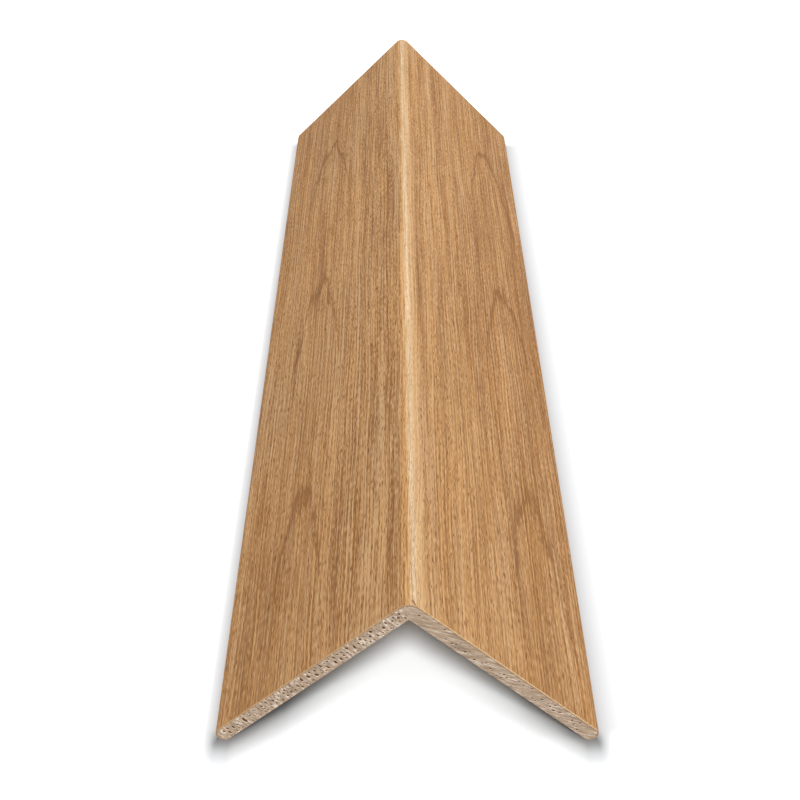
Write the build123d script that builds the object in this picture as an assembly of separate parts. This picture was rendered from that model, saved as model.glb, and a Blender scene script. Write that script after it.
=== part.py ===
from build123d import *

import os
from math import sqrt

# L-shaped corner trim: a thin angle board with an oak veneer bonded round its outside faces.
# It lies on a level floor on the rounded edges of its legs, with its ridge up, like a tent.
# +Z is up, +Y runs along the ridge, and the origin is on the floor under the ridge's middle.
# All sizes are in millimetres.

# Driving sizes.
LENGTH = 237.0             # along the ridge, from saw cut to saw cut
LEG_WIDTH = 50.0           # each leg, from the sharp outside corner to the crown of its edge
CORE_THICKNESS = 3.0       # the board under the veneer
VENEER_THICKNESS = 0.3     # the oak facing
RIDGE_RADIUS = 2.5         # outside corner, measured over the veneer
FACE_ARRIS_RADIUS = 2.0    # where a leg's edge meets its outside face
EDGE_FLAT = 0.1            # left straight on a leg's edge, before it rounds into the back

# Sizes that follow from them.
TRIM_THICKNESS = CORE_THICKNESS + VENEER_THICKNESS
BACK_ARRIS_RADIUS = TRIM_THICKNESS - FACE_ARRIS_RADIUS - EDGE_FLAT
# The board's own corners are concentric with the veneer's, which keeps the veneer even.
CORE_RIDGE_RADIUS = RIDGE_RADIUS - VENEER_THICKNESS
CORE_ARRIS_RADIUS = FACE_ARRIS_RADIUS - VENEER_THICKNESS
# The sharp outside corner above the floor, with the trim resting on its back arrises.
CORNER_HEIGHT = (LEG_WIDTH + TRIM_THICKNESS - 2 * BACK_ARRIS_RADIUS) / sqrt(2) + BACK_ARRIS_RADIUS
CORNER_UP = 225            # degrees that turn a corner, with its legs along +X and +Y, upwards


def round_corners(section, radius, points):
    """Rounds the section's corners that lie at the given points."""
    corners = [section.vertices().sort_by_distance(point)[0] for point in points]
    return fillet(corners, radius)


def trim_section():
    """Board and veneer together, the outside corner at the origin, legs along +X and +Y."""
    outline = Polyline(
        (0, 0),
        (LEG_WIDTH, 0),
        (LEG_WIDTH, TRIM_THICKNESS),
        (TRIM_THICKNESS, TRIM_THICKNESS),
        (TRIM_THICKNESS, LEG_WIDTH),
        (0, LEG_WIDTH),
        close=True,
    )
    section = make_face(outline)
    section = round_corners(section, RIDGE_RADIUS, [(0, 0)])
    section = round_corners(section, FACE_ARRIS_RADIUS, [(LEG_WIDTH, 0), (0, LEG_WIDTH)])
    back_arrises = [(LEG_WIDTH, TRIM_THICKNESS), (TRIM_THICKNESS, LEG_WIDTH)]
    return round_corners(section, BACK_ARRIS_RADIUS, back_arrises)


def under_veneer():
    """Everything that lies deeper than the veneer, behind the faces and the legs' edges."""
    near = VENEER_THICKNESS
    far = LEG_WIDTH - VENEER_THICKNESS
    block = Pos(near, near) * Rectangle(far - near, far - near, align=(Align.MIN, Align.MIN))
    block = round_corners(block, CORE_RIDGE_RADIUS, [(near, near)])
    return round_corners(block, CORE_ARRIS_RADIUS, [(far, near), (near, far)])


def run_along_ridge(section):
    """Stands a section up with its corner on top, and runs it the length of the trim."""
    upright = Pos(0, 0, CORNER_HEIGHT) * Rot(90, 0, 0) * Rot(0, 0, CORNER_UP) * section
    return extrude(upright, amount=LENGTH / 2, both=True)


def angle_core():
    """The angle board: sharp inside corner, flat backs, and the backs' arrises rounded."""
    return run_along_ridge(trim_section() & under_veneer())


def oak_veneer():
    """One sheet, bent round the ridge and the legs' edges, and sanded off at the backs."""
    return run_along_ridge(trim_section() - under_veneer())


PIECES = {
    "angle_core": angle_core,
    "oak_veneer": oak_veneer,
}

os.makedirs("parts", exist_ok=True)
for name, make in PIECES.items():
    export_step(make(), f"parts/{name}.step")
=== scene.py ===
"""A short length of L-shaped corner trim: a thin angle board with an oak veneer bent round it."""
import random
from math import hypot, pi, radians, sqrt

import bpy
from bpy.props import (
    FloatProperty,
    FloatVectorProperty,
    IntProperty,
    PointerProperty,
)
from mathutils import Matrix, Vector


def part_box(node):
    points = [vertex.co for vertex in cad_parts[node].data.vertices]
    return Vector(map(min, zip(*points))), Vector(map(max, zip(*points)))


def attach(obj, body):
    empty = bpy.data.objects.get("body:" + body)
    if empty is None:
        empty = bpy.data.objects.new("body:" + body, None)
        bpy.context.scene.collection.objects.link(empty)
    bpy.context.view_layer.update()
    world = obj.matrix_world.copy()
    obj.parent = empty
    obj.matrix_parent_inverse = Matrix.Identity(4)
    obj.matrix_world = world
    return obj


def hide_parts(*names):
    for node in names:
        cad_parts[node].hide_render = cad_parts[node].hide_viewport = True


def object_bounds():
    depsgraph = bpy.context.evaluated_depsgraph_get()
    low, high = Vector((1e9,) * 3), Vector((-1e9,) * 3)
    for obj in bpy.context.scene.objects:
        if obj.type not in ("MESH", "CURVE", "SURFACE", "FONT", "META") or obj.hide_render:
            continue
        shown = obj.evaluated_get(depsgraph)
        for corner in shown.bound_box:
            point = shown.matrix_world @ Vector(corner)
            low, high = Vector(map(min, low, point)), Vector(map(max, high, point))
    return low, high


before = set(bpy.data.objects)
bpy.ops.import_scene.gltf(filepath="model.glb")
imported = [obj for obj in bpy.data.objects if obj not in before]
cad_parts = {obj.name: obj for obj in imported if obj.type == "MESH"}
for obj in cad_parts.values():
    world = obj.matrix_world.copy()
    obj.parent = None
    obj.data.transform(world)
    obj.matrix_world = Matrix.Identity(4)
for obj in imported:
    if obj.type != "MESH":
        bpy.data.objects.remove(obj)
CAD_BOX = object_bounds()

bl_info = {
    "name": "L-shaped corner trim",
    "version": (1, 0, 0),
    "blender": (4, 5, 0),
    "location": "3D View > Sidebar > Trim",
    "description": "Models a veneered corner trim, its materials and a plain stage for it",
    "category": "Add Mesh",
}

MM = 0.001
VENEER_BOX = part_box("oak_veneer")
SECTION_LENGTH = VENEER_BOX[1].y - VENEER_BOX[0].y

# The section, in millimetres.
LEG_MM = 50.0
WALL_MM = 3.3
VENEER_MM = 0.3
RIDGE_MM = 2.5
FACE_ARRIS_MM = 2.0
BACK_ARRIS_MM = 1.2


def corner_above_floor(leg, wall, back_arris):
    """The sharp outside corner's height, with the trim resting on its back arrises."""
    return (leg + wall - 2 * back_arris) / sqrt(2) + back_arris


CORNER_MM = corner_above_floor(LEG_MM, WALL_MM, BACK_ARRIS_MM)
# The inside corner above the floor.
END_CLEARANCE = (CORNER_MM - WALL_MM * sqrt(2)) * MM

# Modelling: what counts as one line along Y or one place, and how far tool solids run past.
STRAIGHT = 0.01 * MM
SAME_PLACE = 0.02 * MM
TOOL_EXCESS = 1.1

# How steeply the board's rays run down to the right, in the left and the right leg's ends.
LEFT_RAYS = radians(48)
RIGHT_RAYS = radians(22)

# Pits: steps down from the lip with the narrowing at each, and sizes as shares of the setting.
PIT_STEPS = ((0.7, 0.66), (0.8, 0.74), (0.7, 0.5))
PIT_SIZES = (0.55, 0.75, 0.9, 1.0, 1.2, 1.45)
MOST_TRIES = 20000
# The right leg's are smaller, and as they lie nearly along it, they take less of its thickness.
RIGHT_PIT_SIZE = 0.60
RIGHT_PIT_MARGIN = 1.45
# Where they lie along a leg, from the corner and from the leg's edge.
PITS_FROM_CORNER = 3.5 * MM
PITS_FROM_EDGE = 1.4 * MM
# The right leg has hardly any near the corner.
CALM_REACH = 9 * MM
CALM_SHARE = 0.92
# What the back arris takes off the board's thickness at a leg's edge.
ARRIS_REACH = 2.6 * MM
ARRIS_LOSS = 0.7 * MM
# The board that is left beside a pit, and between two of them.
BESIDE_PIT = 0.08 * MM
BETWEEN_PITS = 0.05 * MM

# The ridge stripe's course is set from end to end.
STRIPE_END_MM = 118.0

# Nodes are laid out in rows.
NODES_IN_A_ROW = 9
NODE_WIDTH = 190
NODE_HEIGHT = 280

# The share of its white that the floor keeps, from a foot outwards.
FOOT_SHADE = (
    (0.00, 0.45), (0.20, 0.53), (0.40, 0.59), (0.65, 0.66), (0.85, 0.73), (1.00, 1.00),
)
# The same in front, from where the shade begins to the line under the end's lower edge.
FRONT_SHADE = (
    (0.00, 1.00), (0.13, 0.86), (0.27, 0.76), (0.44, 0.64), (0.65, 0.49),
    (0.75, 0.39), (0.83, 0.30), (0.89, 0.24), (1.00, 0.17),
)
# That line lies behind the cut by its clearance times the slope, and by the bend times its square.
EDGE_SLOPE = 0.72
EDGE_BEND = 4.63
# The floor as the camera sees it, in the open and under the trim, and as the light meets it.
OPEN_WHITE = (1.42, 1.45, 1.48, 1)
COOL_WHITE = (1.42, 1.48, 1.52, 1)
FLOOR_GREY = (0.62, 0.62, 0.62, 1)

KEY_TOWARDS = (0.0, -0.602, 0.799)
SIDE_TOWARDS = (0.80, -0.20, 0.56)

CAMERA_PLACE = (-0.002748, -0.250552, 0.183563)
CAMERA_DOWN = radians(38.4726)
CAMERA_ASIDE = radians(0.4432)
CAMERA_ROLL = radians(0.3719)
SENSOR_WIDTH_MM = 36.0


# Settings shown in the sidebar.

class TrimSizes(bpy.types.PropertyGroup):
    """Sizes of the section and of the length."""

    length: FloatProperty(
        name="Length", description="Along the ridge, from saw cut to saw cut",
        default=SECTION_LENGTH, unit="LENGTH", subtype="DISTANCE")
    leg_width: FloatProperty(
        name="Leg Width", description="From the sharp outside corner to the leg's edge",
        default=LEG_MM * MM, unit="LENGTH", subtype="DISTANCE")
    thickness: FloatProperty(
        name="Thickness", description="Board and veneer together",
        default=WALL_MM * MM, unit="LENGTH", subtype="DISTANCE")
    veneer: FloatProperty(
        name="Veneer", description="Thickness of the oak sheet",
        default=VENEER_MM * MM, unit="LENGTH", subtype="DISTANCE")
    ridge_radius: FloatProperty(
        name="Ridge Radius", description="Rounding of the outside corner, over the veneer",
        default=RIDGE_MM * MM, unit="LENGTH", subtype="DISTANCE")
    face_arris: FloatProperty(
        name="Face Arris", description="Rounding where a leg's edge meets its face",
        default=FACE_ARRIS_MM * MM, unit="LENGTH", subtype="DISTANCE")
    back_arris: FloatProperty(
        name="Back Arris", description="Rounding where a leg's edge meets its back",
        default=BACK_ARRIS_MM * MM, unit="LENGTH", subtype="DISTANCE")
    arc_steps: IntProperty(
        name="Arc Steps", description="Straight steps in each rounding",
        default=16, min=2, max=48)


class PitSettings(bpy.types.PropertyGroup):
    """The open pits that the saw leaves in the board's ends."""

    left_count: IntProperty(
        name="Pits on the Left", description="Pits in the left leg of each end",
        default=112, min=0, max=200)
    right_count: IntProperty(
        name="Pits on the Right", description="Pits in the right leg of each end",
        default=60, min=0, max=200)
    half_width: FloatProperty(
        name="Half Width", description="Half the width of a middling pit",
        default=0.37 * MM, unit="LENGTH", subtype="DISTANCE")
    seed: IntProperty(
        name="Seed", description="Start of the random places", default=7, min=0)


class OakColours(bpy.types.PropertyGroup):
    """Colours of the veneer."""

    deep: FloatVectorProperty(
        name="Deep Grain", description="Darkest fibres", subtype="COLOR",
        size=4, default=(0.295, 0.134, 0.047, 1))
    mid: FloatVectorProperty(
        name="Middle Grain", description="Common tone of the oak", subtype="COLOR",
        size=4, default=(0.485, 0.249, 0.096, 1))
    pale: FloatVectorProperty(
        name="Pale Grain", description="Lightest fibres", subtype="COLOR",
        size=4, default=(0.715, 0.432, 0.208, 1))
    pore: FloatVectorProperty(
        name="Pores", description="Open pores", subtype="COLOR",
        size=4, default=(0.190, 0.083, 0.034, 1))
    # The ridge stripe and its borders are partly paler wood and partly a painted highlight.
    stripe: FloatVectorProperty(
        name="Ridge Stripe", description="Thin cream stripe over the ridge",
        subtype="COLOR", size=4, default=(0.805, 0.605, 0.400, 1))
    stripe_left: FloatVectorProperty(
        name="Left of Stripe", description="Golden border of the stripe, left",
        subtype="COLOR", size=4, default=(0.690, 0.400, 0.168, 1))
    stripe_right: FloatVectorProperty(
        name="Right of Stripe", description="Golden border of the stripe, right",
        subtype="COLOR", size=4, default=(0.720, 0.452, 0.230, 1))
    cut: FloatVectorProperty(
        name="Sawn Edge", description="Cut edge of the veneer", subtype="COLOR",
        size=4, default=(0.620, 0.395, 0.210, 1))
    # The right leg's sawn edge is paler by a painted highlight.
    cut_right_highlight: FloatVectorProperty(
        name="Sawn Edge, Right", description="Cut edge of the veneer on the right leg",
        subtype="COLOR", size=4, default=(0.860, 0.590, 0.335, 1))


class BoardColours(bpy.types.PropertyGroup):
    """Colours of the angle board."""

    end: FloatVectorProperty(
        name="Sawn End", description="Common tone of the sawn ends", subtype="COLOR",
        size=4, default=(0.500, 0.364, 0.256, 1))
    end_pale: FloatVectorProperty(
        name="Pale Fibres", description="Torn fibres on the sawn ends", subtype="COLOR",
        size=4, default=(0.860, 0.760, 0.640, 1))
    # The pits' colour is painted shade in their hollows; the backs' small pores take it too.
    pit: FloatVectorProperty(
        name="Pits", description="Inside the open pits", subtype="COLOR",
        size=4, default=(0.170, 0.092, 0.046, 1))
    glue: FloatVectorProperty(
        name="Glue Line", description="Glue between board and veneer", subtype="COLOR",
        size=4, default=(0.330, 0.205, 0.120, 1))
    back: FloatVectorProperty(
        name="Back", description="Planed backs of the legs", subtype="COLOR",
        size=4, default=(0.560, 0.425, 0.300, 1))


class StageSettings(bpy.types.PropertyGroup):
    """Floor, light and camera."""

    floor_size: FloatProperty(
        name="Floor", description="Width of the square floor", default=8.0,
        unit="LENGTH", subtype="DISTANCE")
    front_reach: FloatProperty(
        name="Front Shade", description="How far the shade reaches in front of the cut end",
        default=8.5 * MM, unit="LENGTH", subtype="DISTANCE")
    left_reach: FloatProperty(
        name="Left Shade", description="How far the shade reaches beside the left leg",
        default=2.6 * MM, unit="LENGTH", subtype="DISTANCE")
    right_reach: FloatProperty(
        name="Right Shade", description="How far the shade reaches beside the right leg",
        default=6.2 * MM, unit="LENGTH", subtype="DISTANCE")
    tip_reach: FloatProperty(
        name="Tip Shade", description="How far the shade in front reaches beside the feet",
        default=3.7 * MM, unit="LENGTH", subtype="DISTANCE")
    sky: FloatProperty(
        name="Soft Light", description="Strength of the light from all round", default=0.45,
        min=0.0)
    key: FloatProperty(
        name="Key Light", description="Brightness the front light gives a facing white sheet",
        default=0.64, min=0.0)
    key_spread: FloatProperty(
        name="Key Spread", description="How wide the front light looks from the trim",
        default=radians(10), subtype="ANGLE", unit="ROTATION")
    side: FloatProperty(
        name="Side Light", description="Brightness the right light gives a facing white sheet",
        default=0.18, min=0.0)
    side_spread: FloatProperty(
        name="Side Spread", description="How wide the right light looks from the trim",
        default=radians(40), subtype="ANGLE", unit="ROTATION")
    lens: FloatProperty(
        name="Lens", description="Focal length of the camera", default=54.053,
        subtype="DISTANCE_CAMERA", unit="CAMERA")


SETTINGS = {
    "trim_sizes": TrimSizes,
    "trim_pits": PitSettings,
    "trim_oak": OakColours,
    "trim_board": BoardColours,
    "trim_stage": StageSettings,
}


# Modelling by hand.

def only(piece):
    """Selects this piece and nothing else, in object mode."""
    if bpy.context.object and bpy.context.object.mode != "OBJECT":
        bpy.ops.object.mode_set(mode="OBJECT")
    bpy.ops.object.select_all(action="DESELECT")
    if piece:
        piece.select_set(True)
        bpy.context.view_layer.objects.active = piece


def edit_all():
    """Enters edit mode with the whole mesh selected."""
    bpy.ops.object.mode_set(mode="EDIT")
    bpy.ops.mesh.select_all(action="SELECT")


def face_outwards():
    """Turns all of the mesh's faces outwards, and leaves edit mode."""
    edit_all()
    bpy.ops.mesh.normals_make_consistent(inside=False)
    bpy.ops.object.mode_set(mode="OBJECT")


def square_bar(name, width, top, length):
    """A square bar along Y, standing on its edge, with its upper corner at the given height."""
    only(None)
    bpy.ops.mesh.primitive_cube_add(
        size=1,
        location=(0, 0, top - width / sqrt(2)),
        rotation=(0, radians(45), 0),
        scale=(width, length, width),
    )
    bar = bpy.context.object
    bar.name = name
    bpy.ops.object.transform_apply(location=True, rotation=True, scale=True)
    return bar


def round_edges(piece, places, radius, steps):
    """Bevels the edges that run along Y through the given (x, z) places."""
    only(piece)
    bpy.context.tool_settings.mesh_select_mode = (False, True, False)
    bpy.ops.object.mode_set(mode="EDIT")
    bpy.ops.mesh.select_all(action="DESELECT")
    bpy.ops.object.mode_set(mode="OBJECT")
    mesh = piece.data
    for edge in mesh.edges:
        a, b = (mesh.vertices[i].co for i in edge.vertices)
        along = hypot(a.x - b.x, a.z - b.z) < STRAIGHT
        edge.select = along and any(hypot(a.x - x, a.z - z) < SAME_PLACE for x, z in places)
    bpy.ops.object.mode_set(mode="EDIT")
    bpy.ops.mesh.bevel(
        offset=radius, offset_type="OFFSET", segments=steps, profile=0.5,
        affect="EDGES", clamp_overlap=False,
    )
    bpy.ops.object.mode_set(mode="OBJECT")


def combine(piece, tool, operation):
    """Joins, cuts or intersects with a tool solid, which is thrown away afterwards."""
    change = piece.modifiers.new("cut", "BOOLEAN")
    change.operation = operation
    change.solver = "EXACT"
    change.material_mode = "TRANSFER"
    change.object = tool
    only(piece)
    bpy.ops.object.modifier_apply(modifier=change.name)
    only(tool)
    bpy.ops.object.delete()


def leg_place(along, deep, top):
    """(x, z) of a point of the right leg: along it from the corner, and under its face."""
    x = (along - deep) / sqrt(2)
    z = top - (along + deep) / sqrt(2)
    return x, z


def both_sides(place):
    """A place on the right leg, and the same on the left."""
    return [place, (-place[0], place[1])]


def corner_height(sizes):
    """The sharp outside corner's height for these sizes."""
    return corner_above_floor(sizes.leg_width, sizes.thickness, sizes.back_arris)


def fit_width_and_height(body, box):
    """Takes up the last microns between this model's finer roundings and the CAD's."""
    low, high = box
    xs = [vertex.co.x for vertex in body.data.vertices]
    zs = [vertex.co.z for vertex in body.data.vertices]
    wide = (high.x - low.x) / (max(xs) - min(xs))
    tall = (high.z - low.z) / (max(zs) - min(zs))
    only(body)
    edit_all()
    bpy.ops.transform.resize(value=(wide, 1.0, tall), center_override=(0, 0, min(zs)))
    bpy.ops.transform.translate(value=(0, 0, low.z - min(zs)))
    bpy.ops.object.mode_set(mode="OBJECT")


def make_whole_section(name, sizes):
    """Board and veneer in one: an angle with its corner up and all its arrises rounded."""
    top = corner_height(sizes)
    wide = sizes.leg_width
    deep = sizes.thickness
    body = square_bar(name, wide, top, sizes.length)
    hollow = square_bar("hollow", wide, top - deep * sqrt(2), sizes.length * TOOL_EXCESS)
    combine(body, hollow, "DIFFERENCE")
    steps = sizes.arc_steps
    round_edges(body, [(0, top)], sizes.ridge_radius, steps)
    round_edges(body, both_sides(leg_place(wide, 0, top)), sizes.face_arris, steps // 2)
    round_edges(body, both_sides(leg_place(wide, deep, top)), sizes.back_arris, steps // 2)
    fit_width_and_height(body, CAD_BOX)
    return body


def make_under_veneer(sizes):
    """Everything deeper than the veneer, as a tool solid longer than the trim."""
    top = corner_height(sizes) - sizes.veneer * sqrt(2)
    wide = sizes.leg_width - 2 * sizes.veneer
    block = square_bar("under_veneer", wide, top, sizes.length * TOOL_EXCESS)
    steps = sizes.arc_steps
    round_edges(block, [(0, top)], sizes.ridge_radius - sizes.veneer, steps)
    sides = both_sides(leg_place(wide, 0, top))
    round_edges(block, sides, sizes.face_arris - sizes.veneer, steps // 2)
    return block


def paint(piece, ends, rest):
    """Gives the sawn ends one material and everything else another."""
    piece.data.materials.clear()
    piece.data.materials.append(rest)
    piece.data.materials.append(ends)
    for face in piece.data.polygons:
        face.material_index = 1 if abs(face.normal.y) > 0.9 else 0


def finish_mesh(piece):
    """Merges doubles, makes normals consistent and smooths the roundings only."""
    only(piece)
    edit_all()
    bpy.ops.mesh.remove_doubles(threshold=0.0005 * MM)
    face_outwards()
    bpy.ops.object.shade_smooth_by_angle(angle=radians(30))


# Nodes.

def put(tree, kind, values=None, **settings):
    """Adds a node, with its inputs given as values or as sockets to link."""
    node = tree.nodes.new(kind)
    row, column = divmod(len(tree.nodes), NODES_IN_A_ROW)
    node.location = (column * NODE_WIDTH, -row * NODE_HEIGHT)
    for key, value in settings.items():
        setattr(node, key, value)
    return fill(tree, node, values or {})


def fill(tree, node, values):
    """Gives a node's inputs their values, or links them where a socket is given."""
    for key, value in values.items():
        if isinstance(value, bpy.types.NodeSocket):
            tree.links.new(value, node.inputs[key])
        else:
            node.inputs[key].default_value = value
    return node


def sums(tree, operation, a, b=0.0, c=0.0):
    """One Math node."""
    return put(tree, "ShaderNodeMath", {0: a, 1: b, 2: c}, operation=operation).outputs[0]


def plus(tree, a, b):
    """The sum of the two."""
    return sums(tree, "ADD", a, b)


def minus(tree, a, b):
    """The first less the second."""
    return sums(tree, "SUBTRACT", a, b)


def times(tree, a, b):
    """The product of the two."""
    return sums(tree, "MULTIPLY", a, b)


def times_plus(tree, a, b, more):
    """The first times the second, and the third on top."""
    return sums(tree, "MULTIPLY_ADD", a, b, more)


def larger(tree, a, b):
    """The larger of the two."""
    return sums(tree, "MAXIMUM", a, b)


def sway(tree, value, amount, base):
    """The base, moved up and down by a value that runs from 0 to 1."""
    return times_plus(tree, minus(tree, value, 0.5), amount, base)


def blend(tree, factor, a, b, kind="MIX"):
    """One Mix node between two colours."""
    values = {0: factor, 6: a, 7: b}
    return put(tree, "ShaderNodeMix", values, data_type="RGBA", blend_type=kind).outputs[2]


def ramp(tree, factor, stops):
    """One Color Ramp node with (position, colour) stops."""
    node = put(tree, "ShaderNodeValToRGB", {0: factor})
    elements = node.color_ramp.elements
    while len(elements) < len(stops):
        elements.new(0.5)
    for element, (position, colour) in zip(elements, stops):
        element.position = position
        element.color = colour
    return node.outputs[0]


def remap(tree, value, low, high, to_low=0.0, to_high=1.0, smooth=False):
    """One Map Range node, clamped."""
    node = put(tree, "ShaderNodeMapRange", {0: value, 1: low, 2: high, 3: to_low, 4: to_high})
    node.interpolation_type = "SMOOTHSTEP" if smooth else "LINEAR"
    return node.outputs[0]


def blend_value(tree, factor, a, b):
    """One Mix node between two numbers."""
    return put(tree, "ShaderNodeMix", {0: factor, 2: a, 3: b}, data_type="FLOAT").outputs[0]


def grey(value):
    """A colour without hue."""
    return (value, value, value, 1)


def grey_ramp(tree, factor, stops):
    """A ramp between greys, with (position, grey) stops."""
    return ramp(tree, factor, [(position, grey(value)) for position, value in stops])


def toned(colour, factor):
    """A colour made darker or paler."""
    return tuple(min(1.0, factor * part) for part in colour[:3]) + (1,)


def noise(tree, place, scale, detail, rough=0.5, dimensions="3D"):
    """One Noise node."""
    values = {"Vector": place, "Scale": scale, "Detail": detail, "Roughness": rough}
    return put(tree, "ShaderNodeTexNoise", values, noise_dimensions=dimensions).outputs[0]


def pair(tree, x, y):
    """Two numbers as a vector."""
    return put(tree, "ShaderNodeCombineXYZ", {0: x, 1: y}).outputs[0]


def split(tree, vector):
    """A vector's X, Y and Z."""
    return put(tree, "ShaderNodeSeparateXYZ", {0: vector}).outputs


def split_in_mm(tree, place):
    """A place's X, Y and Z in millimetres."""
    scaled = put(tree, "ShaderNodeVectorMath", {0: place, "Scale": 1 / MM}, operation="SCALE")
    return split(tree, scaled.outputs[0])


def new_group(name, inputs, outputs):
    """Starts a shader node group with named inputs and outputs."""
    tree = bpy.data.node_groups.new(name, "ShaderNodeTree")
    for title, kind, default in inputs:
        socket = tree.interface.new_socket(title, in_out="INPUT", socket_type="NodeSocket" + kind)
        if default is not None:
            socket.default_value = default
    for title, kind in outputs:
        tree.interface.new_socket(title, in_out="OUTPUT", socket_type="NodeSocket" + kind)
    return tree, put(tree, "NodeGroupInput").outputs, put(tree, "NodeGroupOutput").inputs


def place_group(tree, name, values):
    """Places a group, building it the first time."""
    group = bpy.data.node_groups.get(name) or GROUPS[name](name)
    return put(tree, "ShaderNodeGroup", values, node_tree=group)


def unrolled_place(name):
    """Millimetres across the sheet, as if it were laid flat, and along the ridge."""
    tree, given, made = new_group(
        name,
        [("Place", "Vector", None), ("Corner Height", "Float", CORNER_MM)],
        [("Across", "Float"), ("Along", "Float")],
    )
    x, y, z = split_in_mm(tree, given["Place"])
    drop = minus(tree, given["Corner Height"], z)
    wrapped = times(tree, times(tree, drop, sqrt(2)), sums(tree, "SIGN", x))
    # Over the ridge's rounding the height changes too little to tell places apart.
    flat = times(tree, x, sqrt(2))
    near = sums(tree, "LESS_THAN", sums(tree, "ABSOLUTE", x), RIDGE_MM / sqrt(2))
    across = times_plus(tree, near, minus(tree, flat, wrapped), wrapped)
    tree.links.new(across, made["Across"])
    tree.links.new(y, made["Along"])
    return tree


def fibres(name):
    """Streaks along the grain, from 0 to 1."""
    tree, given, made = new_group(
        name,
        [("Across", "Float", 0.0), ("Along", "Float", 0.0), ("Width", "Float", 0.5),
         ("Length", "Float", 10.0), ("Detail", "Float", 2.0), ("Shift", "Float", 0.0)],
        [("Value", "Float")],
    )
    x = sums(tree, "DIVIDE", given["Across"], given["Width"])
    y = sums(tree, "DIVIDE", given["Along"], given["Length"])
    place = pair(tree, plus(tree, x, given["Shift"]), plus(tree, y, given["Shift"]))
    tree.links.new(noise(tree, place, 1.0, given["Detail"], 0.6, "2D"), made["Value"])
    return tree


def dashes(name):
    """Short marks along the grain, such as pores and flecks, 1 inside and 0 outside."""
    tree, given, made = new_group(
        name,
        [("Across", "Float", 0.0), ("Along", "Float", 0.0), ("Gap Across", "Float", 1.0),
         ("Gap Along", "Float", 3.0), ("Size", "Float", 0.15), ("Share", "Float", 0.5),
         ("Shift", "Float", 0.0)],
        [("Mask", "Float")],
    )
    x = plus(tree, sums(tree, "DIVIDE", given["Across"], given["Gap Across"]), given["Shift"])
    y = plus(tree, sums(tree, "DIVIDE", given["Along"], given["Gap Along"]), given["Shift"])
    cells = put(tree, "ShaderNodeTexVoronoi", {"Vector": pair(tree, x, y), "Scale": 1.0},
                voronoi_dimensions="2D", feature="F1")
    chance = put(tree, "ShaderNodeSeparateColor", {0: cells.outputs["Color"]}).outputs
    chosen = sums(tree, "LESS_THAN", chance[0], given["Share"])
    reach = times(tree, given["Size"], remap(tree, chance[1], 0, 1, 0.6, 1.35))
    inner = times(tree, reach, 0.45)
    inside = remap(tree, cells.outputs["Distance"], reach, inner, smooth=True)
    tree.links.new(times(tree, inside, chosen), made["Mask"])
    return tree


def arches(name):
    """Thin year lines that arch round a middle, as on a flat-sawn sheet."""
    tree, given, made = new_group(
        name,
        [("Across", "Float", 0.0), ("Along", "Float", 0.0), ("Middle", "Float", 0.0),
         ("Tip", "Float", 0.0), ("Bend", "Float", 20.0), ("Slope", "Float", 0.05),
         ("Period", "Float", 3.85), ("Line", "Float", 0.24), ("Reach", "Float", 11.0)],
        [("Mask", "Float")],
    )
    off = minus(tree, given["Across"], given["Middle"])
    bend = given["Bend"]
    bent = sums(tree, "SQRT", plus(tree, times(tree, off, off), times(tree, bend, bend)))
    back = times(tree, minus(tree, given["Along"], given["Tip"]), given["Slope"])
    level = plus(tree, minus(tree, bent, bend), back)
    unsteady = noise(tree, pair(tree, sums(tree, "DIVIDE", given["Across"], 2.5),
                                sums(tree, "DIVIDE", given["Along"], 14.0)), 1.0, 2.0, 0.5, "2D")
    level = sway(tree, unsteady, 0.9, level)
    turn = plus(tree, sums(tree, "DIVIDE", level, given["Period"]), 0.5)
    near = sums(tree, "ABSOLUTE", minus(tree, sums(tree, "FRACT", turn), 0.5))
    near = times(tree, near, given["Period"])
    line = remap(tree, near, given["Line"], 0.0, smooth=True)
    fade = remap(tree, sums(tree, "ABSOLUTE", off), given["Reach"],
                 times(tree, given["Reach"], 0.45), smooth=True)
    tree.links.new(times(tree, line, fade), made["Mask"])
    return tree


def handling(name):
    """Faint patches of more and less polish, for roughness."""
    tree, given, made = new_group(
        name,
        [("Place", "Vector", None), ("Base", "Float", 0.5), ("Change", "Float", 0.1)],
        [("Roughness", "Float")],
    )
    patches = noise(tree, given["Place"], 45.0, 3.0)
    tree.links.new(sway(tree, patches, given["Change"], given["Base"]), made["Roughness"])
    return tree


def depth_under_face(name):
    """Millimetres under the trim's outside, following its ridge and its legs' edges."""
    tree, given, made = new_group(
        name,
        [("Place", "Vector", None), ("Corner Height", "Float", CORNER_MM),
         ("Ridge Radius", "Float", RIDGE_MM), ("Leg Width", "Float", LEG_MM)],
        [("Depth", "Float")],
    )
    x, _, z = split_in_mm(tree, given["Place"])
    drop = minus(tree, given["Corner Height"], z)
    slant = 1 / sqrt(2)
    right = times(tree, minus(tree, drop, x), slant)
    left = times(tree, plus(tree, drop, x), slant)
    radius = given["Ridge Radius"]
    a = larger(tree, minus(tree, radius, right), 0.0)
    b = larger(tree, minus(tree, radius, left), 0.0)
    far = sums(tree, "SQRT", times_plus(tree, a, a, times(tree, b, b)))
    depth = minus(tree, radius, far)
    edge = minus(tree, given["Leg Width"], larger(tree, right, left))
    tree.links.new(sums(tree, "MINIMUM", depth, edge), made["Depth"])
    return tree


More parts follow.
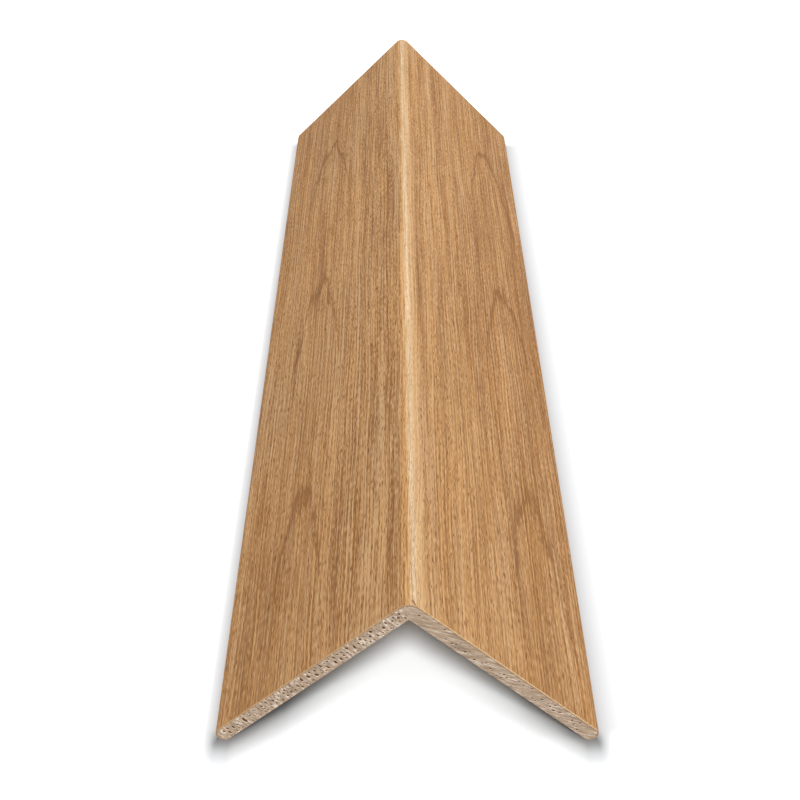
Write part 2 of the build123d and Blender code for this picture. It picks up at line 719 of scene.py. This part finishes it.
def ray_grain(name):
    """Noise drawn out along the board's rays, which run down to the right on both legs."""
    tree, given, made = new_group(
        name,
        [("Place", "Vector", None), ("Slant", "Float", LEFT_RAYS), ("Length", "Float", 1.1),
         ("Depth", "Float", 2.5), ("Width", "Float", 0.38)],
        [("Value", "Float")],
    )
    slant = times(tree, given["Slant"], -1.0)
    turn = put(tree, "ShaderNodeCombineXYZ", {"Y": slant}).outputs[0]
    values = {"Vector": given["Place"], "Rotation": turn}
    turned = put(tree, "ShaderNodeMapping", values).outputs[0]
    shrink = [sums(tree, "DIVIDE", 1 / MM, given[size]) for size in ("Length", "Depth", "Width")]
    scale = put(tree, "ShaderNodeCombineXYZ", dict(zip("XYZ", shrink))).outputs[0]
    drawn = put(tree, "ShaderNodeMapping", {"Vector": turned, "Scale": scale}).outputs[0]
    tree.links.new(noise(tree, drawn, 1.0, 3.0, 0.6), made["Value"])
    return tree


GROUPS = {build.__name__: build for build in (
    unrolled_place, fibres, dashes, arches, handling, depth_under_face, ray_grain)}


def new_material(name):
    """A material with its own shader, and the object's coordinates to start from."""
    material = bpy.data.materials.new(name)
    material.use_nodes = True
    tree = material.node_tree
    shader = tree.nodes["Principled BSDF"]
    place = put(tree, "ShaderNodeTexCoord").outputs["Object"]
    return material, tree, shader, place


def worn(tree, place, base, change):
    """A roughness that changes a little over the surface."""
    values = {"Place": place, "Base": base, "Change": change}
    return place_group(tree, "handling", values).outputs[0]


def relief(tree, height, distance):
    """Bump of the given full height, in metres, as a normal."""
    return put(tree, "ShaderNodeBump", {"Height": height, "Distance": distance}).outputs[0]


class Sheet:
    """A face laid flat, with its places in millimetres and the grain and marks on it."""

    def __init__(self, tree, place):
        self.tree = tree
        flat = place_group(tree, "unrolled_place", {"Place": place}).outputs
        self.off_ridge = flat["Across"]
        self.places = {"Across": flat["Across"], "Along": flat["Along"]}

    def grain(self, width, length, shift=0.0, detail=2.0):
        """Streaks of this width and length in millimetres, from 0 to 1."""
        values = {"Width": width, "Length": length, "Shift": shift, "Detail": detail}
        return place_group(self.tree, "fibres", {**self.places, **values}).outputs[0]

    def marks(self, gap_across, gap_along, size, share, shift=0.0):
        """Dashes of this size, in this share of the places that the gaps set out."""
        values = {"Gap Across": gap_across, "Gap Along": gap_along, "Size": size,
                  "Share": share, "Shift": shift}
        return place_group(self.tree, "dashes", {**self.places, **values}).outputs[0]

    def year_lines(self, middle, tip):
        """Arches round this middle, one of them with its tip at this place along the ridge."""
        values = {"Middle": middle, "Tip": tip}
        return place_group(self.tree, "arches", {**self.places, **values}).outputs[0]

    def bend(self, value, amount):
        """Moves the grain sideways by a value that runs from 0 to 1."""
        self.places["Across"] = sway(self.tree, value, amount, self.places["Across"])


def oak_tone(sheet, threads):
    """How pale the oak is, around 0.5."""
    tree = sheet.tree
    streaks = sheet.grain(0.50, 40.0, 0.0, 0.0)
    ticks = sheet.grain(0.16, 1.6, 33.0, 0.0)
    bands = sheet.grain(3.6, 130.0, 5.5, 1.0)
    # Each grain, and how much it changes the tone.
    tone = 0.5
    for value, amount in ((streaks, 0.62), (threads, 0.84), (ticks, 0.78), (bands, 0.55)):
        tone = sway(tree, value, amount, tone)
    # Rows of pores about a millimetre apart, in and out of step.
    drift = times(tree, sheet.grain(2.2, 40.0, 17.0, 1.0), 6.5)
    row = sums(tree, "SINE", times_plus(tree, sheet.places["Across"], 2 * pi, drift))
    tone = times_plus(tree, row, 0.09, tone)
    # Paler towards the ridge on the right leg, darker towards the edges.
    from_left = remap(tree, sheet.off_ridge, -LEG_MM, LEG_MM)
    side = grey_ramp(tree, from_left, [
        (0.00, 0.50), (0.13, 0.48), (0.22, 0.53), (0.36, 0.54),
        (0.47, 0.54), (0.54, 0.60), (0.70, 0.52), (0.95, 0.42),
    ])
    tone = sway(tree, side, 0.9, tone)
    # The grain is bolder left of the ridge.
    bold = grey_ramp(tree, from_left, [(0.26, 0.0), (0.34, 1.0), (0.46, 1.0), (0.49, 0.0)])
    tone = sway(tree, tone, times(tree, bold, 0.35), tone)
    # Year lines darken it, and flecks light it up.
    lines = larger(tree, sheet.year_lines(-30.0, 6.7), sheet.year_lines(36.0, 10.0))
    tone = times_plus(tree, lines, -0.36, tone)
    flecks = sheet.marks(0.9, 6.0, 0.10, 0.38, 11.0)
    return times_plus(tree, flecks, 0.38, tone)


def ridge_stripe_and_highlight(sheet, colours, tone, threads, pores):
    """The cream stripe over the ridge, partly paler wood and partly a painted highlight, as a mask
    and a colour.
    """
    tree = sheet.tree
    # It drifts to the left as it runs back, and its borders waver.
    along = sheet.places["Along"]
    middle = remap(tree, along, -STRIPE_END_MM, STRIPE_END_MM, 1.25, -0.15)
    narrow = remap(tree, along, -STRIPE_END_MM, STRIPE_END_MM, 1.0, 1.1)
    off = minus(tree, sheet.off_ridge, middle)
    off = sway(tree, sheet.grain(1000.0, 9.0, 2.0), 1.3, off)
    off = sway(tree, threads, 2.0, off)
    spread = remap(tree, times(tree, off, narrow), -4, 4)
    mask = grey_ramp(tree, spread, [
        (0.17, 0.0), (0.29, 0.75), (0.38, 1.0), (0.72, 1.0), (0.80, 0.55), (0.93, 0.0),
    ])
    stripe = ramp(tree, spread, [
        (0.34, colours.stripe_left),
        (0.49, colours.stripe),
        (0.52, colours.stripe),
        (0.60, colours.stripe_right),
    ])
    lift = ramp(tree, tone, [(0.26, (0.73, 0.67, 0.59, 1)), (0.76, grey(1.11))])
    stripe = blend(tree, 1.0, stripe, lift, "MULTIPLY")
    specks = times(tree, sheet.marks(0.8, 2.8, 0.11, 0.45, 63.0), 0.7)
    specks = larger(tree, specks, times(tree, pores, 0.25))
    return mask, blend(tree, specks, stripe, colours.pore)


def saw_nick(sheet):
    """A mask for the short slanting nick that the saw left in the stripe, by the front end."""
    tree = sheet.tree
    beside = minus(tree, sheet.off_ridge, 1.15)
    behind = plus(tree, sheet.places["Along"], STRIPE_END_MM)
    slanting = times_plus(tree, behind, 0.6, beside)
    far = times_plus(tree, slanting, times(tree, slanting, 9.0),
                     times(tree, times(tree, behind, behind), 1.4))
    return remap(tree, far, 1.0, 0.35, 0.0, 0.85, smooth=True)


def oak_face(colours):
    """Honey oak, open grained, with faint arches on both legs and a cream stripe on the ridge that
    is partly a painted highlight.
    """
    material, tree, shader, place = new_material("oak_face")
    sheet = Sheet(tree, place)
    # The grain wanders a little as it runs.
    slow = sheet.grain(14.0, 70.0, 3.1)
    quick = sheet.grain(2.0, 12.0, 8.7)
    sheet.bend(slow, 2.6)
    sheet.bend(quick, 0.16)
    threads = sheet.grain(0.24, 9.0, 21.0, 1.0)
    tone = oak_tone(sheet, threads)
    wood = ramp(tree, tone, [
        (0.10, colours.deep),
        (0.50, colours.mid),
        (0.90, colours.pale),
    ])
    hue = ramp(tree, sheet.grain(1.7, 55.0, 71.0, 1.0), [
        (0.36, (1.03, 1.00, 0.93, 1)),
        (0.64, (0.98, 1.00, 1.07, 1)),
    ])
    wood = blend(tree, 1.0, wood, hue, "MULTIPLY")
    pores = larger(tree, sheet.marks(0.95, 5.0, 0.11, 0.6),
                   sheet.marks(1.9, 12.0, 0.08, 0.5, 40.0))
    wood = blend(tree, times(tree, pores, 0.85), wood, colours.pore)
    # The ridge stripe: paler wood with a painted highlight on top.
    mask, stripe = ridge_stripe_and_highlight(sheet, colours, tone, threads, pores)
    wood = blend(tree, mask, wood, stripe)
    wood = blend(tree, saw_nick(sheet), wood, colours.deep)
    height = times_plus(tree, pores, -0.9, tone)
    fill(tree, shader, {
        "Base Color": wood,
        "Roughness": times_plus(tree, pores, 0.2, worn(tree, place, 0.60, 0.12)),
        "Specular IOR Level": 0.10,
        "Normal": relief(tree, height, 0.035 * MM),
    })
    return material


def oak_cut(colours, board):
    """The veneer's sawn edge: golden, with short fibres across it, and a painted highlight that
    makes it paler on the right leg.
    """
    material, tree, shader, place = new_material("oak_cut")
    specks = noise(tree, place, 2600.0, 2.0)
    tint = ramp(tree, specks, [(0.3, (0.72, 0.66, 0.58, 1)), (0.65, grey(1.08))])
    axes = split(tree, place)
    # Painted highlight: the sawn edge is paler on the right leg.
    painted_highlight = remap(tree, axes["X"], 0.0, 4.0 * MM)
    wood = blend(tree, painted_highlight, colours.cut, colours.cut_right_highlight)
    # The saw has smeared the board over the sheet where it turns round the legs' edges.
    smeared = remap(tree, axes["Z"], 3.6 * MM, 1.6 * MM, smooth=True)
    wood = blend(tree, times(tree, smeared, 0.85), wood, board.end)
    # Glue has soaked into its inner side.
    depth = place_group(tree, "depth_under_face", {"Place": place}).outputs[0]
    soaked = remap(tree, depth, 0.14, 0.30)
    wood = blend(tree, times(tree, soaked, 0.75), wood, board.glue)
    fill(tree, shader, {
        "Base Color": blend(tree, 1.0, wood, tint, "MULTIPLY"),
        "Roughness": worn(tree, place, 0.75, 0.1),
        "Specular IOR Level": 0.25,
        "Normal": relief(tree, specks, 0.04 * MM),
    })
    return material


def end_grain(tree, place, **values):
    """The board's sawn grain, torn as in the left leg's end unless values say otherwise."""
    return place_group(tree, "ray_grain", {"Place": place, **values}).outputs[0]


def board_end(colours):
    """The board's sawn end: beige, with pale torn fibres and the glue line under the veneer."""
    material, tree, shader, place = new_material("board_end")
    end = colours.end
    dark = toned(end, 0.55)
    pale = colours.end_pale
    # The left leg's end is torn, and the right one's is cut in long flat strokes.
    torn = end_grain(tree, place)
    torn_wood = ramp(tree, torn, [(0.33, dark), (0.46, end), (0.55, end), (0.66, pale)])
    smooth = end_grain(tree, place, Slant=RIGHT_RAYS, Length=2.6, Width=0.30)
    smooth_wood = ramp(tree, smooth, [(0.38, dark), (0.47, end), (0.54, end), (0.66, pale)])
    across = split(tree, place)["X"]
    right = remap(tree, across, -0.5 * MM, 0.5 * MM)
    grain = blend_value(tree, right, torn, smooth)
    wood = blend(tree, right, torn_wood, smooth_wood)
    calm = grey_ramp(tree, remap(tree, across, -2 * MM, 10 * MM), [
        (0.02, 0.0), (0.20, 0.42), (0.60, 0.42), (0.85, 0.25),
    ])
    wood = blend(tree, calm, wood, end)
    depth = place_group(tree, "depth_under_face", {"Place": place}).outputs[0]
    glue = remap(tree, sway(tree, grain, 0.5, depth), 0.56, 0.40, smooth=True)
    ridge = remap(tree, sums(tree, "ABSOLUTE", across), 3.0 * MM, 1.5 * MM)
    strength = larger(tree, ridge, blend_value(tree, right, 0.5, 0.85))
    wood = blend(tree, times(tree, glue, strength), wood, colours.glue)
    fill(tree, shader, {
        "Base Color": wood,
        "Roughness": worn(tree, place, 0.85, 0.1),
        "Specular IOR Level": 0.2,
        "Normal": relief(tree, grain, 0.25 * MM),
    })
    return material


def pit_wall(colours):
    """Inside an open pit, painted dark brown as shade in the hollow."""
    material, tree, shader, place = new_material("board_pit")
    tint = ramp(tree, end_grain(tree, place), [
        (0.3, (0.7, 0.66, 0.6, 1)),
        (0.7, (1.5, 1.4, 1.3, 1)),
    ])
    fill(tree, shader, {
        "Base Color": blend(tree, 1.0, colours.pit, tint, "MULTIPLY"),
        "Roughness": worn(tree, place, 0.9, 0.1),
        "Specular IOR Level": 0.1,
    })
    return material


def pit_rim(colours):
    """The torn lip of an open pit: torn fibres, painted pale as a highlight."""
    material, tree, shader, place = new_material("board_rim")
    stops = [(0.30, colours.end), (0.50, colours.end_pale)]
    fill(tree, shader, {
        "Base Color": ramp(tree, end_grain(tree, place), stops),
        "Roughness": worn(tree, place, 0.85, 0.1),
        "Specular IOR Level": 0.2,
    })
    return material


def board_back(colours):
    """The planed backs: pale, with long fibres and small open pores."""
    material, tree, shader, place = new_material("board_back")
    sheet = Sheet(tree, place)
    coarse = sheet.grain(1.1, 26.0)
    fine = sheet.grain(0.35, 5.0, 4.0)
    tone = sway(tree, fine, 0.8, coarse)
    back = colours.back
    wood = ramp(tree, tone, [(0.22, toned(back, 0.66)), (0.5, back), (0.8, toned(back, 1.28))])
    pores = sheet.marks(1.5, 5.0, 0.14, 0.5)
    height = times_plus(tree, pores, -0.8, tone)
    fill(tree, shader, {
        "Base Color": blend(tree, times(tree, pores, 0.6), wood, colours.pit),
        "Roughness": worn(tree, place, 0.8, 0.15),
        "Specular IOR Level": 0.25,
        "Normal": relief(tree, height, 0.05 * MM),
    })
    return material


# Pits in the sawn ends.

def model_pit(wall, rim):
    """One pit as a tool solid of unit half width: a flared lip and a narrowing well, along -Z."""
    only(None)
    bpy.ops.mesh.primitive_circle_add(vertices=8, radius=1.0, fill_type="NGON",
                                      location=(0, 0, 0.5))
    pit = bpy.context.object
    pit.name = "pit"
    bpy.ops.object.mode_set(mode="EDIT")
    for down, narrower in PIT_STEPS:
        bpy.ops.mesh.extrude_region_move(TRANSFORM_OT_translate={"value": (0, 0, -down)})
        bpy.ops.transform.resize(value=(narrower, narrower, 1.0))
    face_outwards()
    bpy.ops.object.transform_apply(location=True, rotation=True, scale=True)
    pit.data.materials.append(wall)
    pit.data.materials.append(rim)
    for face in pit.data.polygons:
        face.material_index = 1 if face.center.z > -0.2 else 0
    return pit


def pit_places(rng, sizes, pits, side, count):
    """Places in one leg's end, apart from each other: x, z, reach, half width, stretch, turn."""
    top = corner_height(sizes)
    right = side > 0
    places = []
    tries = 0
    while len(places) < count:
        tries += 1
        if tries > MOST_TRIES:
            raise RuntimeError(f"{count} pits don't fit in one leg's end")
        along = rng.uniform(PITS_FROM_CORNER, sizes.leg_width - PITS_FROM_EDGE)
        if right and along < CALM_REACH and rng.random() < CALM_SHARE:
            continue
        half = pits.half_width * rng.choice(PIT_SIZES)
        if right:
            half *= RIGHT_PIT_SIZE
        stretch = rng.uniform(1.2, 2.4)
        margin = half * (RIGHT_PIT_MARGIN if right else stretch) + BESIDE_PIT
        shallow = sizes.veneer + margin
        deepest = sizes.thickness - margin
        if along > sizes.leg_width - ARRIS_REACH:
            deepest -= ARRIS_LOSS
        if shallow >= deepest:
            continue
        x, z = leg_place(along, rng.uniform(shallow, deepest), top)
        reach = half * stretch
        if any(hypot(x * side - px, z - pz) < 0.85 * (reach + pr) + BETWEEN_PITS
               for px, pz, pr, *_ in places):
            continue
        turn = radians(rng.uniform(-16, 16)) - (RIGHT_RAYS if right else LEFT_RAYS)
        places.append((x * side, z, reach, half, stretch, turn))
    return places


def cut_pits(board, sizes, pits, wall, rim):
    """Cuts the pits into both sawn ends."""
    rng = random.Random(pits.seed)
    pattern = model_pit(wall, rim)
    for end in (-1, 1):
        tools = []
        for side, count in ((-1, pits.left_count), (1, pits.right_count)):
            for x, z, _, half, stretch, turn in pit_places(rng, sizes, pits, side, count):
                tool = pattern.copy()
                tool.data = pattern.data.copy()
                bpy.context.scene.collection.objects.link(tool)
                # The lip opens out of the end face, and the long axis follows the rays.
                facing = Matrix.Rotation(radians(90) * -end, 4, "X")
                slant = Matrix.Rotation(-turn, 4, "Y")
                size = Matrix.Diagonal((half * stretch, half, half * rng.uniform(0.6, 1.0), 1))
                place = Matrix.Translation((x, end * sizes.length / 2, z))
                tool.matrix_world = place @ slant @ facing @ size
                tools.append(tool)
        only(None)
        for tool in tools:
            tool.select_set(True)
        bpy.context.view_layer.objects.active = tools[0]
        bpy.ops.object.join()
        tool = bpy.context.object
        bpy.ops.object.transform_apply(location=True, rotation=True, scale=True)
        face_outwards()
        combine(board, tool, "DIFFERENCE")
    only(pattern)
    bpy.ops.object.delete()


# One operator for each piece, and one for the stage.

class TRIM_OT_veneer(bpy.types.Operator):
    """Adds the oak sheet, bent round the ridge and the legs' edges"""

    bl_idname = "trim.add_veneer"
    bl_label = "Oak Veneer"

    def execute(self, context):
        sizes = context.scene.trim_sizes
        sheet = make_whole_section("oak_sheet", sizes)
        combine(sheet, make_under_veneer(sizes), "DIFFERENCE")
        finish_mesh(sheet)
        colours = context.scene.trim_oak
        paint(sheet, oak_cut(colours, context.scene.trim_board), oak_face(colours))
        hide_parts("oak_veneer")
        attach(sheet, "root")
        return {"FINISHED"}


class TRIM_OT_board(bpy.types.Operator):
    """Adds the angle board under the veneer, with the pits in its sawn ends"""

    bl_idname = "trim.add_board"
    bl_label = "Angle Board"

    def execute(self, context):
        sizes = context.scene.trim_sizes
        colours = context.scene.trim_board
        board = make_whole_section("core_board", sizes)
        combine(board, make_under_veneer(sizes), "INTERSECT")
        paint(board, board_end(colours), board_back(colours))
        cut_pits(board, sizes, context.scene.trim_pits, pit_wall(colours), pit_rim(colours))
        finish_mesh(board)
        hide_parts("angle_core")
        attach(board, "root")
        return {"FINISHED"}


def foot_shade(tree, settings, across, inside, beside):
    """A narrow shade beside both legs, a little wider on the right."""
    reach = remap(tree, across, -1 * MM, 1 * MM, settings.left_reach, settings.right_reach)
    away = remap(tree, sums(tree, "DIVIDE", beside, reach), 0, 1)
    along_leg = times(tree, remap(tree, inside, -4 * MM, 0),
                      remap(tree, inside, SECTION_LENGTH + 3 * MM, SECTION_LENGTH - 2 * MM))
    share = times(tree, along_leg, sums(tree, "GREATER_THAN", beside, 0))
    return blend(tree, share, grey(1.0), grey_ramp(tree, away, FOOT_SHADE))


def front_shade(tree, settings, inside, beside, clear):
    """A wide shade in front, darkest where the end's lower edge hides the floor."""
    # Seen from the front, that edge stands over this line on the floor behind the cut.
    slope = times_plus(tree, clear, EDGE_BEND, EDGE_SLOPE)
    edge = times(tree, slope, clear)
    ahead = sums(tree, "DIVIDE", minus(tree, edge, inside), settings.front_reach)
    aside = sums(tree, "DIVIDE", larger(tree, beside, 0), settings.tip_reach)
    apart = pair(tree, larger(tree, ahead, 0), aside)
    apart = put(tree, "ShaderNodeVectorMath", {0: apart}, operation="LENGTH").outputs["Value"]
    return grey_ramp(tree, minus(tree, 1.0, apart), FRONT_SHADE)


def front_share(tree, across, inside, beside, clear):
    """Where the shade in front takes over from the feet's."""
    low = times(tree, remap(tree, clear, 33 * MM, 10 * MM), remap(tree, inside, 80 * MM, 35 * MM))
    before = larger(tree, remap(tree, inside, 3 * MM, -1 * MM, smooth=True),
                    sums(tree, "LESS_THAN", beside, 0))
    # Under the middle of the right leg the real shadow is dark enough with less.
    right = grey_ramp(tree, remap(tree, across, 0, 34 * MM), [
        (0.12, 1.0), (0.27, 0.68), (0.58, 0.68), (0.88, 0.95),
    ])
    lifted = remap(tree, clear, 0, 5 * MM)
    low = times(tree, low, blend_value(tree, lifted, 1.0, right))
    return times(tree, low, before)


def contact_shade(tree, settings, place):
    """The floor's white as the camera sees it, shaded round the feet and under the front end."""
    axes = split(tree, place)
    across = axes["X"]
    off_ridge = sums(tree, "ABSOLUTE", across)
    # How far behind the front cut, how far outside the legs, and how high the lower edge is.
    inside = plus(tree, axes["Y"], SECTION_LENGTH / 2)
    beside = minus(tree, off_ridge, CAD_BOX[1].x)
    clear = larger(tree, minus(tree, END_CLEARANCE, off_ridge), 0)
    feet = foot_shade(tree, settings, across, inside, beside)
    front = front_shade(tree, settings, inside, beside, clear)
    shade = blend(tree, front_share(tree, across, inside, beside, clear), feet, front)
    # The board throws a warm light under the trim, which a cooler white evens out.
    white = blend(tree, remap(tree, clear, 2 * MM, 12 * MM), OPEN_WHITE, COOL_WHITE)
    return blend(tree, 1.0, white, shade, "MULTIPLY")


def make_floor(settings):
    """A plain pale floor, which the camera sees as white outside the shadow."""
    only(None)
    bpy.ops.mesh.primitive_plane_add(size=settings.floor_size, location=(0, 0, 0))
    floor = bpy.context.object
    floor.name = "floor"
    material, tree, shader, place = new_material("floor_white")
    seen = put(tree, "ShaderNodeLightPath").outputs["Is Camera Ray"]
    fill(tree, shader, {
        "Base Color": blend(tree, seen, FLOOR_GREY, contact_shade(tree, settings, place)),
        "Roughness": 1.0,
        "Specular IOR Level": 0.0,
    })
    floor.data.materials.append(material)


def make_light(settings):
    """Soft light from all round, a lamp high in front and a weaker one on the right."""
    world = bpy.data.worlds.new("studio")
    bpy.context.scene.world = world
    world.use_nodes = True
    tree = world.node_tree
    rays = put(tree, "ShaderNodeLightPath").outputs
    shown = larger(tree, rays["Is Camera Ray"],
                   larger(tree, rays["Is Glossy Ray"], rays["Is Transmission Ray"]))
    fill(tree, tree.nodes["Background"], {
        "Color": grey(1.0),
        "Strength": remap(tree, shown, 0, 1, settings.sky, 1.0),
    })
    lamps = (
        ("key_light", KEY_TOWARDS, settings.key, settings.key_spread),
        ("side_light", SIDE_TOWARDS, settings.side, settings.side_spread),
    )
    for name, towards, brightness, spread in lamps:
        bpy.ops.object.light_add(type="SUN", location=towards)
        lamp = bpy.context.object
        lamp.name = name
        lamp.rotation_euler = Vector(towards).to_track_quat("Z", "Y").to_euler()
        lamp.data.energy = brightness * pi
        lamp.data.angle = spread


def make_camera(settings):
    """The photograph's view: from the front, high, with the ridge pointing away."""
    turn = (
        Matrix.Rotation(-CAMERA_ASIDE, 3, "Z")
        @ Matrix.Rotation(radians(90) - CAMERA_DOWN, 3, "X")
        @ Matrix.Rotation(CAMERA_ROLL, 3, "Z")
    )
    bpy.ops.object.camera_add(location=CAMERA_PLACE, rotation=turn.to_euler())
    camera = bpy.context.object
    camera.name = "camera"
    camera.data.sensor_width = SENSOR_WIDTH_MM
    camera.data.lens = settings.lens
    camera.data.clip_start = 0.01
    bpy.context.scene.camera = camera


class TRIM_OT_stage(bpy.types.Operator):
    """Adds the floor, the lights and the camera"""

    bl_idname = "trim.add_stage"
    bl_label = "Stage"

    def execute(self, context):
        settings = context.scene.trim_stage
        make_floor(settings)
        make_light(settings)
        make_camera(settings)
        context.scene.view_settings.view_transform = "Standard"
        return {"FINISHED"}


class TRIM_PT_sidebar(bpy.types.Panel):
    """Lists the trim's settings and operators"""

    bl_idname = "TRIM_PT_sidebar"
    bl_label = "Corner Trim"
    bl_space_type = "VIEW_3D"
    bl_region_type = "UI"
    bl_category = "Trim"

    def draw(self, context):
        layout = self.layout
        for name, kind in SETTINGS.items():
            box = layout.box()
            box.label(text=kind.__doc__)
            settings = getattr(context.scene, name)
            for field in kind.__annotations__:
                box.prop(settings, field)
        for operator in OPERATORS:
            layout.operator(operator.bl_idname)


OPERATORS = (TRIM_OT_veneer, TRIM_OT_board, TRIM_OT_stage)


def register():
    for kind in SETTINGS.values():
        bpy.utils.register_class(kind)
    for name, kind in SETTINGS.items():
        setattr(bpy.types.Scene, name, PointerProperty(type=kind))
    for kind in (*OPERATORS, TRIM_PT_sidebar):
        bpy.utils.register_class(kind)


def unregister():
    for kind in (TRIM_PT_sidebar, *reversed(OPERATORS)):
        bpy.utils.unregister_class(kind)
    for name in SETTINGS:
        delattr(bpy.types.Scene, name)
    for kind in reversed(SETTINGS.values()):
        bpy.utils.unregister_class(kind)


def main():
    register()
    bpy.ops.trim.add_veneer()
    bpy.ops.trim.add_board()
    bpy.ops.trim.add_stage()


if __name__ == "__main__":
    main()
